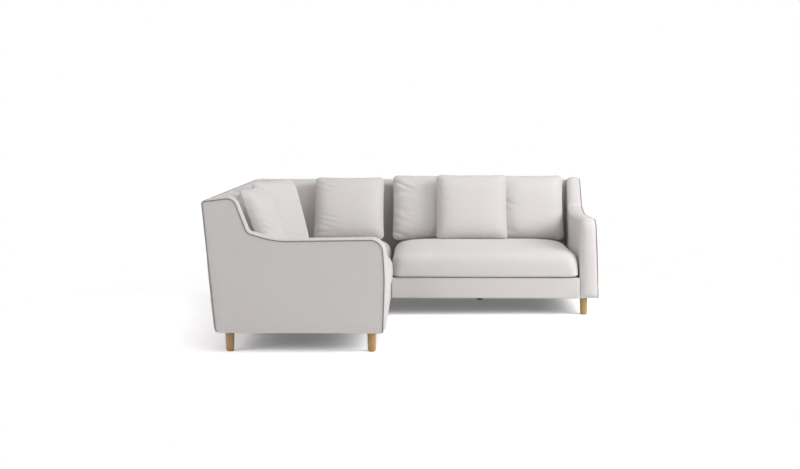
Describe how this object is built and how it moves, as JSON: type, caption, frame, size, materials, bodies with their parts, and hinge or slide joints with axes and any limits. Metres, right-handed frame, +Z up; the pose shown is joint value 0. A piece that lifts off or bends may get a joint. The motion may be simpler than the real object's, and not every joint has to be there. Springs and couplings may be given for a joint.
{
  "type": "corner sofa",
  "caption": "L-shaped upholstered corner sofa with raked backs, scooped piped arms, loose seat and scatter cushions, and round tapered wooden legs",
  "frame": {"origin": "on the floor, at the middle of the square footprint", "axes": "+Z up; +X runs from the corner along the right-hand wing to its arm; +Y runs from the left-hand wing's arm to the corner, so the corner is at -X, +Y and the seats face -Y and +X"},
  "size_m": [2.4294, 2.4294, 0.9291],
  "materials": {
    "upholstery_cloth": "flat woven, matt",
    "cushion_cloth": "flat woven, matt",
    "oak_legs": "satin lacquer",
    "frame_timber": "sawn",
    "seat_foam": "open foam",
    "pillow_filling": "fibre in cotton",
    "webbing": "elastic weave",
    "felt_platform": "pressed felt",
    "dust_cover_cloth": "non-woven",
    "black_steel": "satin black",
    "plated_steel": "zinc plated",
    "glide_plastic": "matt",
    "zip_nylon": "matt"
  },
  "bodies": {
    "root": {"left_arm_cover": "upholstery_cloth", "left_arm_frame": "frame_timber", "right_arm_cover": "upholstery_cloth", "right_arm_frame": "frame_timber", "left_back_cover": "upholstery_cloth", "left_back_frame": "frame_timber", "right_back_cover": "upholstery_cloth", "right_back_frame": "frame_timber", "corner_back_cover": "upholstery_cloth", "corner_back_frame": "frame_timber", "left_base_frame": "frame_timber", "left_rail_cover": "upholstery_cloth", "left_webbing": "webbing", "left_platform": "felt_platform", "left_dust_cover": "dust_cover_cloth", "right_base_frame": "frame_timber", "right_rail_cover": "upholstery_cloth", "corner_webbing": "webbing", "right_webbing": "webbing", "right_platform": "felt_platform", "right_dust_cover": "dust_cover_cloth", "leg_right_arm_front": "oak_legs", "leg_bolts": "plated_steel", "leg_plates": "black_steel", "floor_glides": "glide_plastic", "leg_right_arm_back": "oak_legs", "leg_right_middle": "oak_legs", "leg_corner_back": "oak_legs", "leg_corner_dock": "oak_legs", "leg_corner_inner": "oak_legs", "leg_left_arm_front": "oak_legs", "leg_left_arm_back": "oak_legs", "leg_left_dock_front": "oak_legs", "leg_left_dock_back": "oak_legs", "dock_sockets": "plated_steel", "dock_hooks": "plated_steel"},
    "left_seat": {"left_seat_cover": "cushion_cloth", "left_seat_foam": "seat_foam", "left_seat_zip": "zip_nylon"},
    "corner_seat": {"corner_seat_cover": "cushion_cloth", "corner_seat_foam": "seat_foam", "corner_seat_zip": "zip_nylon"},
    "right_seat": {"right_seat_cover": "cushion_cloth", "right_seat_foam": "seat_foam", "right_seat_zip": "zip_nylon"},
    "right_outer_pillow": {"right_outer_pillow_cover": "cushion_cloth", "right_outer_pillow_pad": "pillow_filling"},
    "right_front_pillow": {"right_front_pillow_cover": "cushion_cloth", "right_front_pillow_pad": "pillow_filling"},
    "right_inner_pillow": {"right_inner_pillow_cover": "cushion_cloth", "right_inner_pillow_pad": "pillow_filling"},
    "corner_pillow": {"corner_pillow_cover": "cushion_cloth", "corner_pillow_pad": "pillow_filling"},
    "left_outer_pillow": {"left_outer_pillow_cover": "cushion_cloth", "left_outer_pillow_pad": "pillow_filling"},
    "left_inner_pillow": {"left_inner_pillow_cover": "cushion_cloth", "left_inner_pillow_pad": "pillow_filling"}
  },
  "joints": [
    {"name": "left_seat_lift", "type": "slide", "parent": "root", "child": "left_seat", "axis": [0, 0, 1], "range_m": [0, 0.2]},
    {"name": "corner_seat_lift", "type": "slide", "parent": "root", "child": "corner_seat", "axis": [0, 0, 1], "range_m": [0, 0.2]},
    {"name": "right_seat_lift", "type": "slide", "parent": "root", "child": "right_seat", "axis": [0, 0, 1], "range_m": [0, 0.2]},
    {"name": "left_outer_pillow_lift", "type": "slide", "parent": "left_seat", "child": "left_outer_pillow", "axis": [-0.3238, 0.034, 0.9455], "range_m": [0, 0.3]},
    {"name": "left_inner_pillow_lift", "type": "slide", "parent": "left_seat", "child": "left_inner_pillow", "axis": [-0.24, 0.097, 0.9659], "range_m": [0, 0.3]},
    {"name": "corner_pillow_lift", "type": "slide", "parent": "corner_seat", "child": "corner_pillow", "axis": [0, 0.4384, 0.8988], "range_m": [0, 0.3]},
    {"name": "right_inner_pillow_lift", "type": "slide", "parent": "right_seat", "child": "right_inner_pillow", "axis": [0, 0.342, 0.9397], "range_m": [0, 0.3]},
    {"name": "right_front_pillow_lift", "type": "slide", "parent": "right_seat", "child": "right_front_pillow", "axis": [0, 0.342, 0.9397], "range_m": [0, 0.3]},
    {"name": "right_outer_pillow_lift", "type": "slide", "parent": "right_seat", "child": "right_outer_pillow", "axis": [0, 0.342, 0.9397], "range_m": [0, 0.3]}
  ]
}
